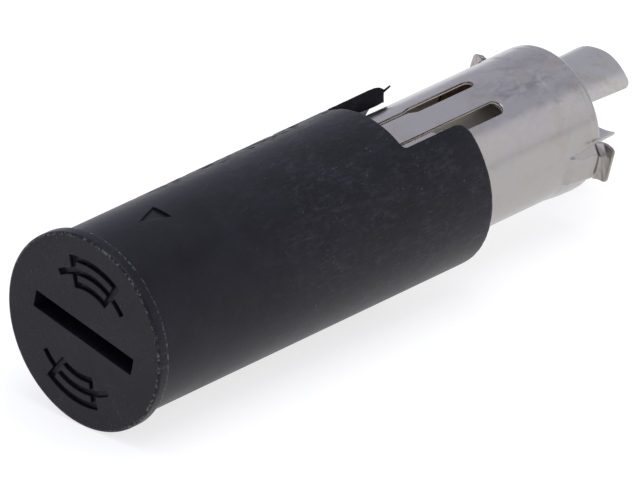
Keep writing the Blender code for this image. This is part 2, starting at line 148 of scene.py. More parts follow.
def bridged(name, rings, is_ring=False):
    """A solid whose skin joins each ring of points to the next.

    The first and last rings are its flat ends or, with is_ring, are joined to each other.
    """
    made = bmesh.new()
    rings = [[made.verts.new(point) for point in ring] for ring in rings]
    for low, high in zip(rings, rings[1:] + rings[:1] if is_ring else rings[1:]):
        for k in range(len(low)):
            after = (k + 1) % len(low)
            made.faces.new([low[k], low[after], high[after], high[k]])
    if not is_ring:
        made.faces.new(rings[0])
        made.faces.new(reversed(rings[-1]))
    bmesh.ops.recalc_face_normals(made, faces=made.faces)
    return place_in_scene(name, made)


def turned(name, outline, sides):
    """A solid turned round the axis from (radius, y) points, flat where the outline ends on the axis."""
    off_axis = [(radius, y) for radius, y in outline if radius > 0]
    rings = [[polar(radius, TAU * k / sides, y) for k in range(sides)] for radius, y in off_axis]
    return bridged(name, rings, is_ring=outline[0][0] > 0)


def prism(name, low, high):
    """A cutter between two flat rings with the same number of points."""
    made = bmesh.new()
    rings = [[made.verts.new(point) for point in ring] for ring in (low, high)]
    made.faces.new(rings[0])
    made.faces.new(reversed(rings[1]))
    for k in range(len(low)):
        after = (k + 1) % len(low)
        made.faces.new([rings[0][after], rings[0][k], rings[1][k], rings[1][after]])
    bmesh.ops.recalc_face_normals(made, faces=made.faces)
    return place_in_scene(name, made)


def extruded(name, outline, low, high):
    """A cutter with an (x, y) outline, from z = low to z = high."""
    return prism(name, *([(x, y, z) for x, y in outline] for z in (low, high)))


def lines(marks, step):
    """The marks in order, with even lines added so that no space is wider than step."""
    marks = sorted(marks)
    made = [marks[0]]
    for start, end in zip(marks, marks[1:]):
        parts = max(1, math.ceil((end - start) / step - TINY))
        made.extend(start + (end - start) * k / parts for k in range(1, parts + 1))
    return made


def sheet(name, angles, rows, is_kept, place, thickness):
    """Bent sheet metal: a grid round the axis with some cells left out, thickened inward, with soft edges.

    The last angle is a full turn past the first, so the grid closes on itself.
    """
    columns = len(angles) - 1
    made = bmesh.new()
    grid = [[made.verts.new(place(angle, row)) for row in rows] for angle in angles[:columns]]
    for i in range(columns):
        for j in range(len(rows) - 1):
            if is_kept((angles[i] + angles[i + 1]) / 2, (rows[j] + rows[j + 1]) / 2):
                after = (i + 1) % columns
                made.faces.new([grid[i][j], grid[after][j], grid[after][j + 1], grid[i][j + 1]])
    bmesh.ops.delete(made, geom=[v for v in made.verts if not v.link_faces], context="VERTS")
    obj = place_in_scene(name, made)
    solid = obj.modifiers.new("thickness", "SOLIDIFY")
    solid.thickness = thickness
    solid.offset = -1
    solid.use_even_offset = True
    soften(obj, 0.045 * MM)
    return obj


def soften(obj, width, segments=2):
    """Small roundings on the sharp edges, with the flat faces kept flat in the light."""
    sharp = 38 * DEGREE
    bevel = obj.modifiers.new("soft edges", "BEVEL")
    bevel.width = width
    bevel.segments = segments
    bevel.limit_method = "ANGLE"
    bevel.angle_limit = sharp
    bevel.use_clamp_overlap = True
    bevel.miter_outer = "MITER_ARC"
    even = obj.modifiers.new("even light", "WEIGHTED_NORMAL")
    even.keep_sharp = True


def carve(target, cutter, operation="DIFFERENCE"):
    """Cuts the cutter out of the target (or joins it on), and takes the cutter away."""
    boolean = target.modifiers.new(cutter.name, "BOOLEAN")
    boolean.operation = operation
    boolean.solver = "EXACT"
    boolean.object = cutter
    bpy.context.view_layer.update()
    graph = bpy.context.evaluated_depsgraph_get()
    shaped = bpy.data.meshes.new_from_object(target.evaluated_get(graph))
    target.modifiers.remove(boolean)
    target.data = shaped
    bpy.data.objects.remove(cutter, do_unlink=True)


def hand_over(obj, body, node, finish):
    """Gives a piece its material and its body, and hides the CAD node it stands for."""
    obj.data.materials.clear()
    obj.data.materials.append(finish)
    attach(obj, body)
    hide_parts(node)


# ---------------------------------------------------------------- materials


class Recipe:
    """A material being mixed: its nodes, and the millimetre coordinates that its patterns use."""

    def __init__(self, name, colour, roughness, metallic=0.0, **sockets):
        self.material = bpy.data.materials.new(name)
        self.material.use_nodes = True
        self.tree = self.material.node_tree
        self.shader = self.tree.nodes["Principled BSDF"]
        self.shader.inputs["Base Color"].default_value = (*colour, 1)
        self.shader.inputs["Roughness"].default_value = roughness
        self.shader.inputs["Metallic"].default_value = metallic
        for socket, value in sockets.items():
            self.shader.inputs[socket.replace("_", " ")].default_value = value
        place = self.node("ShaderNodeTexCoord")
        self.mm = self.node("ShaderNodeVectorMath", operation="SCALE")
        self.mm.inputs["Scale"].default_value = 1 / MM
        self.join(place.outputs["Object"], self.mm.inputs[0])
        self.bumps = None

    def node(self, kind, **settings):
        made = self.tree.nodes.new(kind)
        for name, value in settings.items():
            setattr(made, name, value)
        return made

    def join(self, output, socket):
        self.tree.links.new(output, socket)

    def stretched(self, scale, turn=(0, 0, 0)):
        """The coordinates with each axis scaled, for streaks."""
        mapping = self.node("ShaderNodeMapping")
        mapping.inputs["Scale"].default_value = scale
        mapping.inputs["Rotation"].default_value = turn
        self.join(self.mm.outputs[0], mapping.inputs["Vector"])
        return mapping.outputs["Vector"]

    def noise(self, scale, detail=3.0, rough=0.55, place=None, distortion=0.0):
        made = self.node("ShaderNodeTexNoise")
        made.inputs["Scale"].default_value = scale
        made.inputs["Detail"].default_value = detail
        made.inputs["Roughness"].default_value = rough
        made.inputs["Distortion"].default_value = distortion
        self.join(place or self.mm.outputs[0], made.inputs["Vector"])
        return made.outputs["Fac"]

    def specks(self, scale, size, share=0.35):
        """Small uneven spots, 1 at their middle, in this share of the pattern's cells."""
        wobble = self.node("ShaderNodeTexNoise")
        wobble.inputs["Scale"].default_value = 2.5 * scale
        self.join(self.mm.outputs[0], wobble.inputs["Vector"])
        small = self.node("ShaderNodeVectorMath", operation="SCALE")
        small.inputs["Scale"].default_value = 0.35 / scale
        self.join(wobble.outputs["Color"], small.inputs[0])
        moved = self.node("ShaderNodeVectorMath", operation="ADD")
        self.join(self.mm.outputs[0], moved.inputs[0])
        self.join(small.outputs[0], moved.inputs[1])
        cells = self.node("ShaderNodeTexVoronoi")
        cells.inputs["Scale"].default_value = scale
        self.join(moved.outputs[0], cells.inputs["Vector"])
        split = self.node("ShaderNodeSeparateColor")
        self.join(cells.outputs["Color"], split.inputs[0])
        chosen = self.ramp(split.outputs[0], [(1 - share, 0.0), (1.0, 1.0)])
        return self.times(self.ramp(cells.outputs["Distance"], [(0.0, 1.0), (size, 0.0)]), chosen)

    def ramp(self, value, stops):
        """A value mapped to numbers or colours; stops are (position, number or colour)."""
        made = self.node("ShaderNodeValToRGB")
        elements = made.color_ramp.elements
        while len(elements) > 1:
            elements.remove(elements[-1])
        for k, (position, stop) in enumerate(stops):
            element = elements[0] if k == 0 else elements.new(position)
            element.position = position
            colour = stop if isinstance(stop, tuple) else (stop, stop, stop)
            element.color = (*colour, 1)
        self.join(value, made.inputs["Fac"])
        return made.outputs["Color"]

    def maths(self, operation, first, second, clamp=False):
        """Arithmetic on two values; clamp holds the result between 0 and 1."""
        made = self.node("ShaderNodeMath", operation=operation, use_clamp=clamp)
        for k, value in enumerate((first, second)):
            if isinstance(value, (int, float)):
                made.inputs[k].default_value = value
            else:
                self.join(value, made.inputs[k])
        return made.outputs["Value"]

    def times(self, first, second):
        return self.maths("MULTIPLY", first, second, clamp=True)

    def blend(self, first, first_share, second, second_share):
        """Two patterns added in these shares, held between 0 and 1."""
        shares = [self.times(first, first_share), self.times(second, second_share)]
        return self.maths("ADD", *shares, clamp=True)

    def mix(self, share, first, second):
        """Two colours mixed by a value; a colour may be fixed."""
        made = self.node("ShaderNodeMix", data_type="RGBA")
        self.join(share, made.inputs["Factor"])
        for socket, value in ((made.inputs[6], first), (made.inputs[7], second)):
            if isinstance(value, tuple):
                socket.default_value = (*value, 1)
            else:
                self.join(value, socket)
        return made.outputs[2]

    def near(self, what, centre, half):
        """1 at the centre, 0.8 where the value is half away from it, and 0 twice as far."""
        size = self.maths("ABSOLUTE", self.maths("SUBTRACT", what, centre), 0)
        return self.ramp(self.maths("DIVIDE", size, 2 * half), [(0.0, 1.0), (0.5, 0.8), (1.0, 0.0)])

    def step(self, what, low, high, below, above):
        """A coordinate value turned into below under low, above over high, and a slope between."""
        share = self.maths("DIVIDE", self.maths("SUBTRACT", what, low), high - low)
        return self.ramp(share, [(0.0, below), (1.0, above)])

    def axis_parts(self):
        """(distance from the axis, y, angle round the axis) in millimetres and radians."""
        split = self.node("ShaderNodeSeparateXYZ")
        self.join(self.mm.outputs[0], split.inputs[0])
        x, z = split.outputs["X"], split.outputs["Z"]
        total = self.maths("ADD", self.maths("MULTIPLY", x, x), self.maths("MULTIPLY", z, z))
        return self.maths("SQRT", total, 0), split.outputs["Y"], self.maths("ARCTAN2", x, z)

    def colour(self, value):
        self.join(value, self.shader.inputs["Base Color"])

    def rough(self, value, low, high):
        """Roughness that runs from low to high as the value runs from 0 to 1."""
        spread = self.node("ShaderNodeMapRange")
        spread.inputs["To Min"].default_value = low
        spread.inputs["To Max"].default_value = high
        self.join(value, spread.inputs["Value"])
        self.join(spread.outputs["Result"], self.shader.inputs["Roughness"])

    def bump(self, value, depth_mm):
        """Adds a height of this many millimetres to the surface's bumps."""
        made = self.node("ShaderNodeBump")
        made.inputs["Strength"].default_value = 1.0
        made.inputs["Distance"].default_value = depth_mm * MM
        self.join(value, made.inputs["Height"])
        if self.bumps:
            self.join(self.bumps, made.inputs["Normal"])
        self.bumps = made.outputs["Normal"]
        self.join(self.bumps, self.shader.inputs["Normal"])


def moulded_plastic(name, edges, dusty=1.0, dust_from=None):
    """Black moulded plastic: mottled, with dust, scuffs along the axis and worn edges, and painted highlight
    in dotted rings along them.

    edges lists (distance from the axis, y) circles, in millimetres, whose edges are worn and carry painted
    highlight. dusty is the amount of dust. dust_from is the y, in millimetres, behind which dust, scuffs and
    haze gather.
    """
    lowest, highest = (0.0046, 0.0042, 0.0074), (0.0090, 0.0082, 0.0135)
    dust_grey, haze_grey = (0.105, 0.105, 0.112), (0.055, 0.055, 0.066)
    scuff_grey, worn_and_highlight_grey = (0.045, 0.045, 0.052), (0.13, 0.13, 0.128)
    made = Recipe(name, highest, 0.42, Specular_IOR_Level=0.188)
    broad = made.noise(0.35, 4)
    grain = made.noise(9.0, 3, 0.6)
    out, along = made.axis_parts()[:2]
    colour = made.ramp(broad, [(0.35, lowest), (0.65, highest)])
    dust = made.times(made.specks(3.4, 0.34), made.ramp(made.noise(0.6, 2), [(0.42, 0.0), (0.6, 1.0)]))
    gathered = made.ramp(made.noise(1.3, 2), [(0.42, 0.0), (0.62, 1.0)])
    dust = made.blend(dust, 1.0, made.times(made.specks(8.0, 0.4, 0.5), gathered), 0.6)
    dust = made.times(dust, dusty)
    streaks = made.noise(1.0, 4, 0.7, made.stretched((6, 0.8, 6), (0.1, 0.05, 0.12)))
    patches = made.ramp(made.noise(0.5, 2), [(0.42, 0.0), (0.62, 1.0)])
    scuffs = made.times(made.ramp(streaks, [(0.58, 0.0), (0.7, 1.0)]), patches)
    if dust_from is not None:
        fade, cleanest = 8, 0.12
        behind = made.step(along, dust_from - fade, dust_from, cleanest, 1.0)
        dust = made.times(dust, behind)
        scuffs = made.times(scuffs, behind)
        haze = made.noise(1.0, 6, 0.8, made.stretched((3.0, 1.1, 3.0), (0.0, 0.1, 0.25)))
        haze = made.times(made.ramp(haze, [(0.46, 0.0), (0.72, 1.0)]), behind)
        blotches = made.ramp(made.noise(0.45, 3, 0.6), [(0.44, 0.25), (0.6, 1.0)])
        colour = made.mix(made.times(made.times(haze, blotches), 0.5), colour, haze_grey)
    colour = made.mix(made.times(dust, 0.7), colour, dust_grey)
    colour = made.mix(made.times(scuffs, 0.5), colour, scuff_grey)
    # wear and painted highlight: dotted lighter rings along the rounded edges, where they catch the light
    for radius, y in edges:
        dotted = made.ramp(made.noise(4.2, 3, 0.7), [(0.5, 0.0), (0.64, 1.0)])
        ring = made.times(made.near(out, radius, 0.06), made.near(along, y, 0.08))
        colour = made.mix(made.times(made.times(ring, dotted), 0.9), colour, worn_and_highlight_grey)
    made.colour(colour)
    made.rough(made.blend(broad, 0.7, grain, 0.35), 0.28, 0.50)
    made.bump(made.noise(1.4, 3, 0.5), 0.014)
    made.bump(grain, 0.006)
    made.bump(scuffs, 0.008)
    made.bump(dust, 0.010)
    return made.material


def sleeve_marks_and_painted_light(made, surface):
    """The contact sleeve's marks and painted light: painted light on the pale inner face, painted reflection
    and shade on the brown ears, painted shade on the lower side and in the creases, and clouds with painted
    darker reflection on top.
    """
    inner_radius, inner_end, ear_radius = 5.02, 38.0, 5.6
    # pale is painted light for the inner face; dull is painted shade for the lower side
    pale, dull = (0.92, 0.83, 0.68), (0.23, 0.218, 0.205)
    cloud_and_reflection_grey, crease_shade_grey = (0.27, 0.27, 0.295), (0.20, 0.20, 0.225)
    out, along, angle = made.axis_parts()
    # painted light: the inner face is pale cream and not metal, standing in for the light bounced round
    # inside the nickel sleeve
    inner = made.times(
        made.step(out, inner_radius - 0.04, inner_radius, 1.0, 0.0),
        made.step(along, inner_end - 0.25, inner_end, 1.0, 0.0),
    )
    surface = made.mix(inner, surface, pale)
    made.join(made.ramp(inner, [(0.0, 1.0), (1.0, 0.0)]), made.shader.inputs["Metallic"])
    # painted reflection and shade: brown stripes on the ears stand in for what their bent faces reflect and
    # for the shade on their front faces
    ear_reflection_stripes = made.noise(1.0, 3, 0.6, made.stretched((5.5, 1, 0.5)))
    brown = made.ramp(ear_reflection_stripes, [(0.35, (0.23, 0.195, 0.17)), (0.62, (0.40, 0.37, 0.35))])
    surface = made.mix(made.step(out, ear_radius - 0.02, ear_radius + 0.15, 0.0, 1.0), surface, brown)
    clouds = made.noise(1.0, 4, 0.65, made.stretched((1.1, 0.55, 1.1)), 0.9)
    cloudy = made.ramp(clouds, [(0.44, 0.0), (0.66, 1.0)])
    # painted shade: dark lines along the two creases, where shade falls in them
    for twist, centre, start, end, depth in (
        (0.01571, -0.1342, 36.2, 40.9, 0.6),
        (0.01134, -0.0641, 38.4, 42.8, 0.45),
    ):
        line = made.maths("SUBTRACT", angle, made.maths("MULTIPLY", along, twist))
        length = made.near(along, (start + end) / 2, (end - start) / 2)
        crease = made.times(made.times(made.near(line, centre, 0.045), length), cloudy)
        surface = made.mix(made.times(crease, depth), surface, crease_shade_grey)
    # painted shade: the lower side, round 2.4 radians from the top, is darkened towards dull grey
    surface = made.mix(made.times(made.near(angle, 2.4, 1.0), 0.47), surface, dull)
    # the clouds are darker and bluer on the top side: mottled stains there, and painted reflection of the
    # darker surroundings
    upper = made.times(made.near(angle, 0.1, 0.6), made.near(along, 39.6, 3.4))
    return made.mix(made.times(made.times(cloudy, upper), 0.5), surface, cloud_and_reflection_grey)


def nickel(name, colour, rough_low, rough_high, stain=0.25, streak=(6, 0.5, 6), marks=None):
    """Nickel-plated sheet: soft stains, faint drawing marks along the axis and fine scratches.

    marks adds one piece's own marks, and any painted light and shade, to the colour.
    """
    made = Recipe(name, colour, rough_low, 1.0)
    broad = made.noise(0.42, 4, 0.6, distortion=0.6)
    warm = tuple(c * s for c, s in zip(colour, (0.95, 0.92, 0.88)))
    cool = tuple(c * s for c, s in zip(colour, (0.98, 0.99, 1.02)))
    stained = made.ramp(broad, [(0.36, warm), (0.5, colour), (0.68, cool)])
    spots = made.times(made.ramp(made.noise(1.7, 4, 0.65), [(0.56, 0.0), (0.72, 1.0)]), stain)
    surface = made.mix(spots, stained, tuple(c * 0.72 for c in warm))
    if marks is not None:
        surface = marks(made, surface)
    made.colour(surface)
    drawn = made.noise(1.0, 4, 0.7, made.stretched(streak))
    made.rough(made.blend(broad, 0.7, drawn, 0.4), rough_low, rough_high)
    scratch = made.noise(1.0, 2, 0.5, made.stretched((1.2, 9, 4), (0.5, 0.3, 0.9)))
    made.bump(made.noise(0.9, 3, 0.5), 0.008)
    made.bump(drawn, 0.0012)
    made.bump(made.noise(14.0, 2, 0.6), 0.0002)
    made.bump(made.ramp(scratch, [(0.66, 0.0), (0.70, 1.0)]), 0.0015)
    return made.material


def phenolic():
    """Brown laminated phenolic: fine fibres and a dull turned surface."""
    made = Recipe("brown_phenolic", (0.30, 0.19, 0.10), 0.5)
    fibres = made.noise(2.2, 4, 0.7, made.stretched((1, 6, 1)))
    made.colour(made.ramp(fibres, [(0.3, (0.27, 0.165, 0.085)), (0.7, (0.42, 0.28, 0.16))]))
    made.rough(fibres, 0.42, 0.62)
    made.bump(fibres, 0.008)
    return made.material


def glass_with_painted_light():
    """The fuse's glass, a little cloudy: part diffuse with a cream tint, painted light that brightens the
    view into the sleeve through its slots.
    """
    made = Recipe("clear_glass", (0.86, 0.82, 0.74), 0.02, 0.0, Transmission_Weight=0.55, IOR=1.5)
    made.rough(made.noise(1.2, 3), 0.02, 0.2)
    made.bump(made.noise(0.6, 2), 0.003)
    return made.material


def dull_solder():
    made = Recipe("dull_solder", (0.42, 0.42, 0.43), 0.45, 1.0)
    grain = made.noise(3.0, 4, 0.6)
    made.colour(made.ramp(grain, [(0.3, (0.32, 0.32, 0.335)), (0.7, (0.52, 0.52, 0.53))]))
    made.rough(grain, 0.35, 0.6)
    made.bump(grain, 0.02)
    return made.material


def drawn_wire(name, colour, along):
    """Drawn wire: bright with fine lines round its length."""
    made = Recipe(name, colour, 0.25, 1.0)
    marks = made.noise(3.0, 3, 0.6, made.stretched(along))
    made.colour(made.ramp(marks, [(0.3, tuple(c * 0.8 for c in colour)), (0.7, colour)]))
    made.rough(marks, 0.18, 0.36)
    made.bump(marks, 0.003)
    return made.material


# ---------------------------------------------------------------- black mouldings


def driver_slot():
    """The cutter for the screwdriver slot."""
    half_length = 4.575 * MM
    half_width = 0.635 * MM
    depth = 1.6 * MM
    corner = 0.08 * MM
    outline = rounded(
        [
            (half_length, half_width, corner),
            (-half_length, half_width, corner),
            (-half_length, -half_width, corner),
            (half_length, -half_width, corner),
        ],
        3,
    )
    slot = extruded("slot_cutter", outline, -depth, depth)
    slot.data.transform(Matrix.Rotation(FACE_TILT, 4, "Y") @ Matrix.Rotation(math.pi / 2, 4, "X"))
    slot.data.transform(Matrix.Translation((0, FACE, 0)))
    return slot


def fuse_sign(name, middle):
    """The cutter for one engraved sign: a curved box with a line through it."""
    inner, outer, stroke, depth = 3.15 * MM, 5.45 * MM, 0.44 * MM, 0.35 * MM
    centre = (inner + outer) / 2
    box_half, line_half, end = 26 * DEGREE, 43 * DEGREE, stroke / centre
    angles = lines([-line_half, -box_half, end - box_half, box_half - end, box_half, line_half], 2 * DEGREE)
    radii = [inner, inner + stroke, centre - stroke / 2, centre + stroke / 2, outer - stroke, outer]
    made = bmesh.new()
    corners = {}

    def corner(i, j):
        if (i, j) not in corners:
            corners[i, j] = made.verts.new(polar(radii[j], angles[i] + middle, FACE + depth))
        return corners[i, j]

    for i in range(len(angles) - 1):
        angle = abs(angles[i] + angles[i + 1]) / 2
        for j in range(5):
            on_box = angle < box_half and (j in (0, 4) or angle > box_half - end)
            if j == 2 or on_box:
                made.faces.new([corner(i, j), corner(i, j + 1), corner(i + 1, j + 1), corner(i + 1, j)])
    raised = bmesh.ops.extrude_face_region(made, geom=list(made.faces))
    top = [v for v in raised["geom"] if isinstance(v, bmesh.types.BMVert)]
    bmesh.ops.translate(made, verts=top, vec=(0, -2 * depth, 0))
    bmesh.ops.recalc_face_normals(made, faces=made.faces)
    return place_in_scene(name, made)


def front_cap(finish):
    spigot = 5.15 * MM
    seat, seat_floor = 4.45 * MM, 1.9 * MM
    neck, recess = BARREL_RADIUS + 0.05 * MM, -0.2 * MM
    outline = rounded(
        [
            (0, FACE, 0),
            (FLANGE_RADIUS, FACE, 0.2 * MM),
            (FLANGE_RADIUS, 0, 0.05 * MM),
            (neck, 0, 0),
            (neck, recess, 0),
            (spigot, recess, 0),
            (spigot, cap_high.y, 0.1 * MM),
            (seat, cap_high.y, 0.1 * MM),
            (seat, seat_floor, 0),
            (0, seat_floor, 0),
        ]
    )
    cap = turned("front_cap_detail", outline, 224)
    carve(cap, driver_slot())
    carve(cap, fuse_sign("sign_upper", FACE_TILT))
    carve(cap, fuse_sign("sign_lower", FACE_TILT + math.pi))
    soften(cap, 0.05 * MM, 3)
    hand_over(cap, "carrier", "front_cap", finish)


def windows():
    """The cutter that opens the barrel's two rear windows."""
    half = 3.89 * MM
    start = 25.5 * MM
    beyond = BARREL_END + MM
    reach = 8 * MM
    mouth = 1.0 * MM
    corner = 0.35 * MM
    outline = rounded(
        [
            (half + 3 * mouth, beyond, 0),
            (half + 3 * mouth, BARREL_END, 0),
            (half, BARREL_END, mouth),
            (half, start, corner),
            (-half, start, corner),
            (-half, BARREL_END - 0.3 * MM, 0.15 * MM),
            (-half - 0.2 * MM, beyond, 0),
        ],
        7,
    )
    return extruded("window_cutter", outline, -reach, reach)


def index_mark():
    """The cutter for the small engraved triangle on the barrel."""
    centre, half = 4 * DEGREE, 7.5 * DEGREE
    start, length, depth = 3.9 * MM, 2.2 * MM, 0.13 * MM
    outline = [(centre, start), (centre + half, start + length), (centre - half, start + length)]
    radii = (BARREL_RADIUS - depth, BARREL_RADIUS + depth)
    return prism("mark_cutter", *([polar(radius, angle, y) for angle, y in outline] for radius in radii))


def flash_tongue():
    """Ragged flash along the far edge of the upper window, standing past the barrel's end."""
    # (y, z) points of its upper edge, then the x of its two sides, in millimetres
    tops = [(26.4, 5.31), (28, 5.33), (30.2, 5.33), (30.8, 5.30), (31.2, 5.20), (31.5, 5.02), (31.72, 4.84)]
    near_side, far_side = -3.86, -4.6
    rings = []
    for y, top in tops:
        bottom = 4.3 - 0.42 * smooth(26.4, 29.5, y) + 0.10 * noise.noise(Vector((y * 2.3, 0.7, 0)))
        near = near_side + 0.05 * noise.noise(Vector((y * 1.9, 4.1, 0)))
        ring = [
            (near, top),
            (near - 0.03, (top + bottom) / 2),
            (near - 0.02, bottom),
            (far_side + 0.05, bottom - 0.12),
            (far_side, top - 0.62),
        ]
        rings.append([(x * MM, y * MM, z * MM) for x, z in ring])
    return bridged("flash", rings)


def flash_spur():
    """The blunt spur of flash at the tip of that edge."""
    start, end = Vector((-3.95, 31.3, 4.55)) * MM, Vector((-3.72, 32.15, 5.02)) * MM
    root, tip = 0.1 * MM, 0.065 * MM
    along = end - start
    made = bmesh.new()
    bmesh.ops.create_cone(made, cap_ends=True, segments=10, radius1=root, radius2=tip, depth=along.length)
    lean = along.to_track_quat("Z", "Y").to_matrix().to_4x4()
    bmesh.ops.transform(made, matrix=Matrix.Translation((start + end) / 2) @ lean, verts=made.verts)
    return place_in_scene("spur", made)


def beside(angle, centre, full, none):
    """1 within full of the centre angle, fading to 0 at none; all in degrees but the angle."""
    return 1 - smooth(full * DEGREE, none * DEGREE, abs(angle - centre * DEGREE))


def scuffed(position):
    """Moves a point of the barrel's skin where it is chipped, at the upper left, or worn at the rear."""
    chip_depth, worn_depth, ragged_depth = 0.19 * MM, 0.3 * MM, 0.035 * MM
    skin = 0.16 * MM
    away = Vector((position.x, 0, position.z))
    if away.length < BARREL_RADIUS - skin:
        return position
    angle = math.atan2(position.x, position.z)
    chipped = smooth(5 * MM, 13 * MM, position.y) * beside(angle, -36, 9, 22)
    grain = noise.noise(position * 2.1 / MM) + 0.6 * noise.noise(position * 5.3 / MM)
    depth = chip_depth * chipped * max(0.0, grain)
    depth += worn_depth * smooth(30.2 * MM, 31.4 * MM, position.y) * beside(angle, -40, 12, 26)
    ragged = smooth(BARREL_END - 0.5 * MM, BARREL_END, position.y)
    depth += ragged_depth * ragged * max(0.0, noise.noise(position * 1.7 / MM) + 0.2)
    return position - away.normalized() * depth


def carrier_tube(finish):
    bore, rear_bore, rear_edge = 5.21 * MM, 5.82 * MM, 0.14 * MM
    rear_bore_start, rear_bore_full = 24.0 * MM, 24.5 * MM
    front = tube_low.y
    rows = 90
    skin = [(BARREL_RADIUS, front + (BARREL_END - front) * k / rows) for k in range(rows)]
    last = (BARREL_RADIUS, skin[-1][1], 0)
    end = rounded([last, (BARREL_RADIUS, BARREL_END, rear_edge), (rear_bore, BARREL_END, 0)], 4)
    outline = [(bore, front)] + skin + end[1:]
    outline += [(rear_bore, rear_bore_full), (bore, rear_bore_start)]
    tube = turned("carrier_tube_detail", outline, 224)
    for vertex in tube.data.vertices:
        vertex.co = scuffed(vertex.co)
    carve(tube, windows())
    carve(tube, index_mark())
    carve(tube, flash_tongue(), "UNION")
    carve(tube, flash_spur(), "UNION")
    soften(tube, 0.06 * MM)
    hand_over(tube, "carrier", "carrier_tube", finish)


# ---------------------------------------------------------------- sheet metal


def finger_sag(y):
    """How far inward a contact finger stands, in its hidden front part."""
    touching = 3.53 * MM
    lead_in = 0.3 * MM
    contact = 15.4 * MM
    deepest = SLEEVE_RADIUS - SHEET - touching
    if y > contact:
        return deepest * (1 - smooth(contact, FINGER_BEND, y))
    return deepest - lead_in * (contact - y) / (contact - FINGER_TIP)


def fold(angle):
    """The angle from straight up or, in the lower half, from straight down; and 1 in the lower half."""
    side = math.floor((angle + 90 * DEGREE) / math.pi) % 2
    return (angle + 90 * DEGREE) % math.pi - 90 * DEGREE, side


def drop(share):
    """How far a round corner falls away, 0 at its start and 1 at its end."""
    return 1 - math.sqrt(max(0.0, 1 - min(1.0, share) ** 2))


def slot_edges(y):
    """(outer edge, finger edge, finger's far edge, outer edge) of the two slots at this y."""
    wide = smooth(SLOT_STEP, SLOT_STEP + SLOT_STEP_LENGTH, y)
    low = SLOT_LOW + (SLOT_LOW_WIDE - SLOT_LOW) * wide
    finger = FINGER_LOW + (FINGER_WAIST - FINGER_LOW) * wide
    high = SLOT_HIGH + (SLOT_HIGH_WIDE - SLOT_HIGH) * wide
    over = min(1.0, max(0.0, (y - (SLOT_END - SLOT_END_ROUNDING)) / SLOT_END_ROUNDING))
    shrink = drop(0.97 * over)  # just under a whole quarter circle, so the slot's end keeps some width
    first, second = (finger - low) / 2 * shrink, (high - FINGER_HIGH) / 2 * shrink
    return low + first, finger - first, FINGER_HIGH + second, high - second


def hump(value, centre, width):
    """1 at the centre, falling off like a bell."""
    return math.exp(-(((value - centre) / width) ** 2))


def crease(near, y, rise, fall, middle, half_width):
    """A long crease pressed in at one angle, 1 at its deepest; it comes in over rise and goes over fall."""
    along = smooth(*rise, y / MM) * (1 - smooth(*fall, y / MM))
    return along * hump(near, middle * DEGREE, half_width * DEGREE)


def sleeve_wall(angle, y):
    """The sleeve's outer radius, with its waves, flattened fingers, creases, dent, collar and rim ridge."""
    near, side = fold(angle)
    radius = SLEEVE_RADIUS - 0.005 * MM
    # the rear end flares out a little at its lower right, and the whole wall is slightly wavy
    flare = hump(math.remainder(angle - 145 * DEGREE, TAU), 0, 24 * DEGREE)
    radius += 0.11 * MM * flare * smooth(STRIP_START, 42.0 * MM, y)
    spot = polar(2.2, angle, y / (2.2 * MM)) + Vector((side * 9.0, 0, 0))
    radius += 0.008 * MM * noise.noise(spot) * smooth(24 * MM, 27 * MM, y)
    # each finger and the wall just behind it are pressed towards a flat
    middle = (FINGER_WAIST + FINGER_HIGH) / 2
    half = (FINGER_HIGH - FINGER_LOW) / 2
    flat = 1 - smooth(half, half + 3 * DEGREE, abs(near - middle))
    chord = SLEEVE_RADIUS * (1 - math.cos(half) / math.cos(min(abs(near - middle), half)))
    radius -= 0.7 * chord * flat * (1 - smooth(35.2 * MM, 38.8 * MM, y)) * smooth(23 * MM, 25 * MM, y)
    if side == 0:
        # two long creases that run off at a slight angle, and a shallow dent
        first, second = 25.7 + 0.9 * (y / MM - 37.1), 22.0 + 0.65 * (y / MM - 39.5)
        radius -= 0.035 * MM * crease(near, y, (36.3, 37.0), (39.4, 40.8), first, 1.7)
        radius -= 0.022 * MM * crease(near, y, (38.4, 39.6), (41.8, 42.6), second, 1.9)
        dent = Vector(((near - 28 * DEGREE) * SLEEVE_RADIUS, (y - 40.1 * MM) * 0.7))
        radius -= 0.03 * MM * hump(dent.length, 0, 0.8 * MM)
    # the collar that the lugs stand on, and the ridge at the rim
    radius += 0.03 * MM * smooth(STRIP_START, 40.6 * MM, y)
    return radius + 0.022 * MM * hump(y, 42.6 * MM, 0.16 * MM)


def warped(angle, y):
    """The real angle of one of the sleeve's grid lines: beside a slot the lines follow its edges."""
    near = fold(angle)[0]
    settled = SLOT_END + 1.5 * MM
    if y > settled or y < FINGER_TIP:
        return angle
    settle = 1 - smooth(SLOT_END, settled, y)
    plain = (SLOT_LOW, FINGER_LOW, FINGER_HIGH, SLOT_HIGH)
    knots = list(zip(plain, slot_edges(min(y, SLOT_END))))
    knots = [(-40 * DEGREE, -40 * DEGREE), *knots, (70 * DEGREE, 70 * DEGREE)]
    for (low, new_low), (high, new_high) in zip(knots, knots[1:]):
        if low - 1e-9 <= near <= high + 1e-9:
            share = (near - low) / (high - low)
            return angle + settle * (new_low + (new_high - new_low) * share - near)
    return angle


def strip_height(off, y):
    """The share of the lift at this angle from a strip's middle; its upper side slopes off in a triangle."""
    foot = (10.9 + 4.3 * smooth(STRIP_START, 42.2 * MM, y)) * DEGREE
    crest = (9.9 - 3.6 * smooth(STRIP_START, 41.5 * MM, y)) * DEGREE
    if off < 0:
        return min(1.0, max(0.0, (foot + off) / (foot - crest))) ** 1.8
    return 1 - smooth(LUG_HALF - 0.5 * DEGREE, LUG_HALF + 1.7 * DEGREE, off)


def strip_lift(y):
    """How far the raised strips stand out at full height: a step, then a slope up to the lugs."""
    slope = min(1.0, max(0.0, (y - 40.4 * MM) / (2.2 * MM)))
    return 0.24 * MM * smooth(40.25 * MM, 40.6 * MM, y) + 0.23 * MM * slope


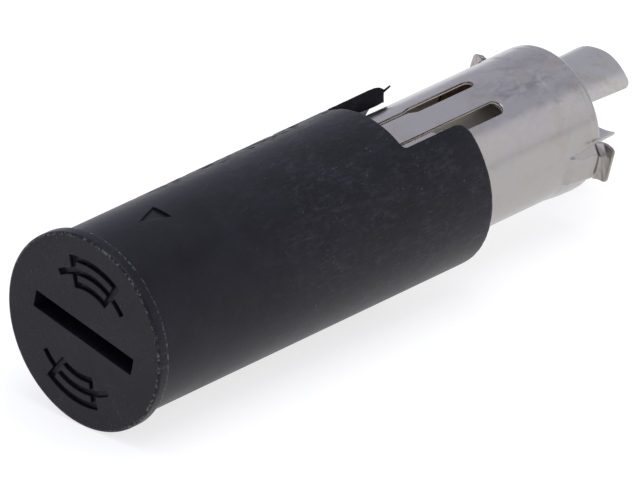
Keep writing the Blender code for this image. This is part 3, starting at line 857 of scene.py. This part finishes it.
def ear_point(radius, share, off, slack):
    """(x, y, z) on a lug's ear: the raised strip bends outward, then runs flat to a straight end.

    radius is the strip's, share runs from 0 to 1 along the ear, and off is the angle from its middle.
    slack is how far the end is bent forward. The middle points straight up here; the caller turns it
    into place.
    """
    bend = 0.6 * MM
    bend_share = 0.8
    half_width = 1.42 * MM
    corner = 0.28 * MM + 0.7 * slack
    bent = min(1.0, share / bend_share) * math.pi / 2
    out = radius + bend * (1 - math.cos(bent))
    y = SLEEVE_END - SHEET - slack * share - bend * (1 - math.sin(bent))
    across = off / LUG_HALF * half_width
    height = math.sqrt(out * out - across * across)
    if share > bend_share:
        inset = max(0.0, corner - (half_width - abs(across))) / corner
        reach = LUG_RADIUS - 0.12 * MM - 0.9 * slack - corner * drop(inset)
        height += (reach - height) * (share - bend_share) / (1 - bend_share)
    return Vector((across, y, height))


def contact_sleeve(finish):
    """The sleeve: one sheet with slots, spring fingers, barbs, raised strips, lugs and a turned-in rim."""
    edge_lines = (SLOT_LOW, FINGER_LOW, FINGER_HIGH, SLOT_HIGH)
    bend_start = SLEEVE_END - 0.4 * MM
    rim_turn = SLEEVE_END - bend_start
    notch = 0.8 * DEGREE
    notch_start = SLEEVE_END - 0.84 * MM
    ear_start = SLEEVE_END - 0.82 * MM
    near_lean, far_lean, far_slack = 2.4 * DEGREE, -1.0 * DEGREE, 0.4 * MM
    barb, barb_half, barb_cut = 90 * DEGREE, 9 * DEGREE, 2.5 * DEGREE
    barb_start, barb_end, barb_slit, barb_lift = 7.2 * MM, 9.6 * MM, 0.3 * MM, 0.42 * MM
    finger_slit = FINGER_TIP - 0.4 * MM
    seen_from = 23.5 * MM
    marks = set()
    for turn in (0.0, math.pi):
        marks |= {edge + turn for edge in edge_lines}
        marks |= {barb + side * (barb_half + cut) + turn for side in (-1, 1) for cut in (0, barb_cut)}
        marks |= {LUG_CENTRE + side * (LUG_HALF + cut) + turn for side in (-1, 1) for cut in (0, notch)}
    angles = lines(marks | {min(marks) + TAU}, 1.7 * DEGREE)
    wide_start = SLOT_STEP + SLOT_STEP_LENGTH
    wide_end = SLOT_END - SLOT_END_ROUNDING
    barb_rows = [sleeve_low.y, barb_start, barb_end, barb_end + barb_slit]
    rows = set(lines(barb_rows + [finger_slit, FINGER_TIP, seen_from], MM))
    rows |= set(lines([seen_from, SLOT_STEP], 0.3 * MM))
    rows |= set(lines([SLOT_STEP, wide_start], 0.1 * MM))
    rows |= set(lines([wide_start, wide_end], 0.25 * MM))
    rows |= {SLOT_END - SLOT_END_ROUNDING * (1 - math.sin(k * 15 * DEGREE)) for k in range(7)}
    rows |= set(lines([SLOT_END, 40.2 * MM, notch_start, ear_start, bend_start], 0.13 * MM))
    rim_rows = [bend_start + k * 0.1 * MM for k in range(1, 13)]
    rim_end = rim_rows[-1]
    rows = sorted(rows | set(rim_rows))

    def is_kept(angle, y):
        near = fold(angle)[0]
        if finger_slit < y < FINGER_TIP:
            return not SLOT_LOW < near < SLOT_HIGH
        if FINGER_TIP < y < SLOT_END:
            return not (SLOT_LOW < near < FINGER_LOW or FINGER_HIGH < near < SLOT_HIGH)
        from_barb = abs(math.remainder(angle - barb, math.pi))
        if barb_start < y < barb_end + barb_slit and from_barb < barb_half + barb_cut:
            return y < barb_end and from_barb < barb_half
        from_lug = abs(math.remainder(angle - LUG_CENTRE, math.pi))
        return not (y > notch_start and LUG_HALF < from_lug < LUG_HALF + notch)

    def place(angle, y):
        near = fold(angle)[0]
        real = warped(angle, y)
        radius = sleeve_wall(angle, min(y, bend_start))
        if FINGER_LOW - TINY < near < FINGER_HIGH + TINY and FINGER_TIP - TINY * MM < y < FINGER_BEND:
            radius -= finger_sag(y)
        on_barb = abs(math.remainder(angle - barb, math.pi)) < barb_half + TINY
        if on_barb and abs(y - barb_end) < TINY * MM:
            radius += barb_lift
        off = math.remainder(real - LUG_CENTRE, math.pi)
        raised = radius + strip_height(off, y) * strip_lift(y)
        if abs(off) <= LUG_HALF + TINY and y > ear_start:
            lean, slack = (far_lean, far_slack) if math.sin(real) < 0 else (near_lean, 0.0)
            spot = ear_point(raised, (y - ear_start) / (rim_end - ear_start), off, slack)
            lean *= smooth(ear_start, ear_start + 0.4 * MM, y)
            return Matrix.Rotation(real - off + lean, 3, "Y") @ spot
        if y <= bend_start:
            return polar(raised, real, y)
        turn = (y - bend_start) / (rim_end - bend_start) * 90 * DEGREE
        return polar(radius - rim_turn * (1 - math.cos(turn)), real, bend_start + rim_turn * math.sin(turn))

    sleeve = sheet("contact_sleeve_detail", angles, rows, is_kept, place, SHEET)
    hand_over(sleeve, "carrier", "contact_sleeve", finish)


def fuse_clip(finish):
    """The rear clip: a plain ring in the bush, and two fingers with round corners that lean in a little."""
    slit = 42.9 * MM
    thickness = 0.18 * MM
    root_half, tip_half = 46 * DEGREE, 49.5 * DEGREE
    corner = 0.55 * MM
    marks = {CLIP_CENTRE + turn + side * root_half for turn in (0, math.pi) for side in (-1, 1)}
    angles = lines(marks | {min(marks) + TAU}, 2.2 * DEGREE)
    straight = lines([clip_low.y, slit, CLIP_END - corner], 0.3 * MM)
    tip_rows = [CLIP_END - corner * (1 - math.sin(k * 15 * DEGREE)) for k in range(7)]
    rows = sorted(set(straight) | set(tip_rows))

    def is_kept(angle, y):
        return y < slit or abs(math.remainder(angle - CLIP_CENTRE, math.pi)) < root_half

    def place(angle, y):
        along = max(0.0, (y - slit) / (CLIP_END - slit))
        away = math.remainder(angle - CLIP_CENTRE, math.pi)
        half = root_half + (tip_half - root_half) * along
        lower = math.cos(angle - CLIP_CENTRE) < 0
        over = max(0.0, (y - (CLIP_END - corner)) / corner)
        half -= (0.35 if lower else 1.0) * corner / CLIP_RADIUS * drop(over)
        stretch = half / root_half if along > 0 and abs(away) <= root_half + TINY else 1.0
        radius = CLIP_RADIUS - 0.03 * MM * (1 - along ** 2)
        radius += 0.010 * MM * noise.noise(polar(1.5, angle, y / (1.7 * MM)))
        radius -= 0.02 * MM * math.sin(math.pi * along)
        # the lower finger's tip is bent in, most in its middle; the upper one leans in along one side
        if lower:
            radius -= 0.30 * MM * smooth(44.2 * MM, CLIP_END, y)
            radius -= 0.40 * MM * smooth(44.6 * MM, CLIP_END, y) * max(0.0, 1 - (away / root_half) ** 2)
        else:
            top = 1 - smooth(-12 * DEGREE, 28 * DEGREE, math.remainder(angle, TAU))
            radius -= 0.14 * MM * top * smooth(43.2 * MM, 46 * MM, y)
        return polar(radius, angle - away + away * stretch, y)

    clip = sheet("fuse_clip_detail", angles, rows, is_kept, place, thickness)
    hand_over(clip, "carrier", "fuse_clip", finish)


# ---------------------------------------------------------------- parts inside


def insulator_bush(finish):
    inner, outer, edge = 3.47 * MM, bush_high.x, 0.15 * MM
    corners = [
        (inner, bush_low.y, edge),
        (outer, bush_low.y, edge),
        (outer, bush_high.y, edge),
        (inner, bush_high.y, edge),
    ]
    bush = turned("insulator_bush_detail", rounded(corners, 3), 128)
    soften(bush, 0.03 * MM)
    hand_over(bush, "carrier", "insulator_bush", finish)


def contact_cup(finish):
    front = cup_low.y
    inner, outer, boss, guide = 3.225 * MM, 3.465 * MM, 3.5 * MM, cup_high.x
    boss_end = front + 1.0 * MM
    guide_end, seat = boss_end + 0.4 * MM, boss_end + 0.5 * MM
    corners = [
        (0, front, 0),
        (boss, front, 0.25 * MM),
        (boss, boss_end, 0.08 * MM),
        (guide, boss_end, 0.1 * MM),
        (guide, guide_end, 0.1 * MM),
        (outer, guide_end, 0.1 * MM),
        (outer, cup_high.y, 0.08 * MM),
        (inner, cup_high.y, 0.08 * MM),
        (inner, seat, 0.2 * MM),
        (0, seat, 0),
    ]
    cup = turned("contact_cup_detail", rounded(corners, 4), 128)
    soften(cup, 0.03 * MM)
    hand_over(cup, "plunger", "contact_cup", finish)


def contact_spring(finish):
    """The coil spring, a round wire swept along a helix with flat end turns."""
    wire = 0.29 * MM
    mean = spring_high.x - 0.3 * MM
    start, end = spring_low.y + wire, spring_high.y - wire
    turns, closed, lift = 6.5, 0.75, 0.66 * MM
    per_turn, sides = 40, 12
    steps = int(turns * per_turn)
    rings = []
    for step in range(steps + 1):
        turned_by = turns * step / steps
        rise = smooth(0, closed, turned_by) * lift + smooth(0, closed, turned_by - turns + closed) * lift
        middle = min(1.0, max(0.0, (turned_by - closed) / (turns - 2 * closed)))
        y = start + rise + (end - start - 2 * lift) * middle
        ring = []
        for k in range(sides):
            round_wire = TAU * k / sides
            out = mean + wire * math.cos(round_wire)
            ring.append(polar(out, TAU * turned_by, y + wire * math.sin(round_wire)))
        rings.append(ring)
    spring = bridged("contact_spring_detail", rings)
    hand_over(spring, "carrier", "contact_spring", finish)
    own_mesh(spring)


def fuse_cap(name, node, end, inward, finish):
    """One drawn end cap; end is its flat end, inward the direction of its open side."""
    length, wall, floor = 6.35 * MM, 0.2 * MM, 0.35 * MM
    bore = FUSE_RADIUS - wall
    corners = [
        (0, end, 0),
        (FUSE_RADIUS, end, 0.32 * MM),
        (FUSE_RADIUS, end + inward * length, 0.07 * MM),
        (bore, end + inward * length, 0.07 * MM),
        (bore, end + inward * floor, 0.1 * MM),
        (0, end + inward * floor, 0),
    ]
    cap = turned(name, rounded(corners), 128)
    soften(cap, 0.03 * MM)
    hand_over(cap, "fuse", node, finish)


def fuse_glass(finish):
    outer, wall = glass_high.x, 0.7 * MM
    inner = outer - wall
    corners = [
        (inner, glass_low.y, 0.1 * MM),
        (outer, glass_low.y, 0.25 * MM),
        (outer, glass_high.y, 0.25 * MM),
        (inner, glass_high.y, 0.1 * MM),
    ]
    glass = turned("fuse_glass_detail", rounded(corners, 4), 128)
    hand_over(glass, "fuse", "fuse_glass", finish)


def solder_plug(node, inward, finish):
    """The solder in one cap: flat on the cap's floor, with an upright rim and a dome inward."""
    steps, rim = 8, 0.45
    low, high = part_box(node)
    flat, crown = (low.y, high.y) if inward > 0 else (high.y, low.y)
    outline = [(0, flat), (high.x, flat)]
    for k in range(steps):
        share = k / steps
        rise = rim + (1 - rim) * share
        outline.append((high.x * math.cos(share * 90 * DEGREE), flat + (crown - flat) * rise))
    outline.append((0, crown))
    hand_over(turned(node + "_detail", outline, 64), "fuse", node, finish)


def fusible_wire(finish):
    """The thin wire between the solder plugs, very slightly bowed."""
    count, bow_depth = 40, 0.03 * MM
    low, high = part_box("fuse_element")
    wire = bpy.data.curves.new("fuse_element_detail", "CURVE")
    wire.dimensions = "3D"
    wire.bevel_depth = 0.11 * MM
    wire.bevel_resolution = 4
    wire.use_fill_caps = True
    line = wire.splines.new("POLY")
    line.points.add(count - 1)
    for k, point in enumerate(line.points):
        share = k / (count - 1)
        bow = bow_depth * math.sin(math.pi * share)
        y = low.y + (high.y - low.y) * share
        point.co = (bow * math.cos(4 * share), y, bow * math.sin(7 * share), 1)
    element = bpy.data.objects.new("fuse_element_detail", wire)
    bpy.context.scene.collection.objects.link(element)
    hand_over(element, "fuse", "fuse_element", finish)


# ---------------------------------------------------------------- stage, light, camera


def floor():
    """A pale floor that glows a little, like a light table."""
    half_size = 2.5
    made = bmesh.new()
    bmesh.ops.create_grid(made, x_segments=1, y_segments=1, size=half_size)
    ground = place_in_scene("floor", made)
    ground.location.z = -FLANGE_RADIUS
    paper = Recipe("paper_floor", (0.38, 0.38, 0.385), 0.9, Specular_IOR_Level=0.0)
    paper.shader.inputs["Emission Color"].default_value = (1, 1, 1, 1)
    paper.shader.inputs["Emission Strength"].default_value = 0.74
    ground.data.materials.append(paper.material)


def softbox(name, spot, aim, size, power, colour=(1, 1, 1)):
    light = bpy.data.lights.new(name, "AREA")
    light.shape = "SQUARE"
    light.size = size
    light.energy = power
    light.color = colour
    lamp = bpy.data.objects.new(name, light)
    bpy.context.scene.collection.objects.link(lamp)
    lamp.location = spot
    lamp.rotation_euler = (Vector(aim) - Vector(spot)).to_track_quat("-Z", "Y").to_euler()


def studio():
    world = bpy.data.worlds.new("studio")
    world.use_nodes = True
    sky = world.node_tree.nodes["Background"]
    sky.inputs["Color"].default_value = (0.83, 0.85, 1.0, 1)
    sky.inputs["Strength"].default_value = 0.72
    bpy.context.scene.world = world
    bpy.context.scene.view_settings.view_transform = "Standard"
    middle = (0, 0.02, 0)
    softbox("key", (0.08, 0.02, 0.45), middle, size=0.30, power=0.7)
    softbox("fill", (0.45, 0.42, 0.22), middle, size=0.40, power=0.22, colour=(1.0, 0.95, 0.88))


def camera():
    """The camera at the photo's angle; width is what it sees across, at the target."""
    azimuth, elevation = 43.9 * DEGREE, 26.87 * DEGREE
    distance, width, sensor = 1.0, 41.995 * MM, 36
    aside, above = 15.535 * MM, 6.077 * MM  # from the middle of the cap's face to the middle of the picture
    across = Vector((math.cos(azimuth), math.sin(azimuth), 0))
    level = Vector((-math.sin(azimuth), math.cos(azimuth), 0)) * math.cos(elevation)
    forward = level - Vector((0, 0, math.sin(elevation)))
    up = across.cross(forward)
    target = Vector((0, FACE, 0)) + across * aside + up * above
    lens = bpy.data.cameras.new("camera")
    lens.sensor_width = sensor
    lens.lens = sensor * distance / width
    lens.clip_start = 0.01
    lens.clip_end = 20
    eye = bpy.data.objects.new("camera", lens)
    bpy.context.scene.collection.objects.link(eye)
    eye.location = target - forward * distance
    eye.rotation_euler = forward.to_track_quat("-Z", "Y").to_euler()
    bpy.context.scene.camera = eye


def main():
    camera()
    studio()
    floor()
    cap_edges = [(FLANGE_RADIUS / MM - 0.12, FACE / MM + 0.03), (FLANGE_RADIUS / MM - 0.02, -0.03)]
    front_cap(moulded_plastic("cap_plastic", cap_edges, dusty=0.5))
    tube_edges = [(BARREL_RADIUS / MM, BARREL_END / MM - 0.05)]
    carrier_tube(moulded_plastic("barrel_plastic", tube_edges, dust_from=16))
    contact_sleeve(nickel("sheet_nickel", (0.475, 0.452, 0.430), 0.16, 0.3, marks=sleeve_marks_and_painted_light))
    fuse_clip(nickel("clip_nickel", (0.50, 0.485, 0.455), 0.20, 0.36, 0.5))
    bright = nickel("bright_nickel", (0.68, 0.665, 0.64), 0.12, 0.24, 0.12, (0.5, 8, 0.5))
    insulator_bush(phenolic())
    contact_cup(bright)
    contact_spring(drawn_wire("spring_wire", (0.42, 0.42, 0.43), (6, 1, 6)))
    fuse_cap("fuse_front_cap_detail", "fuse_front_cap", front_low.y, 1, bright)
    fuse_cap("fuse_rear_cap_detail", "fuse_rear_cap", rear_high.y, -1, bright)
    fuse_glass(glass_with_painted_light())
    solder = dull_solder()
    solder_plug("fuse_front_solder", 1, solder)
    solder_plug("fuse_rear_solder", -1, solder)
    fusible_wire(drawn_wire("element_wire", (0.62, 0.60, 0.55), (6, 1, 6)))


main()
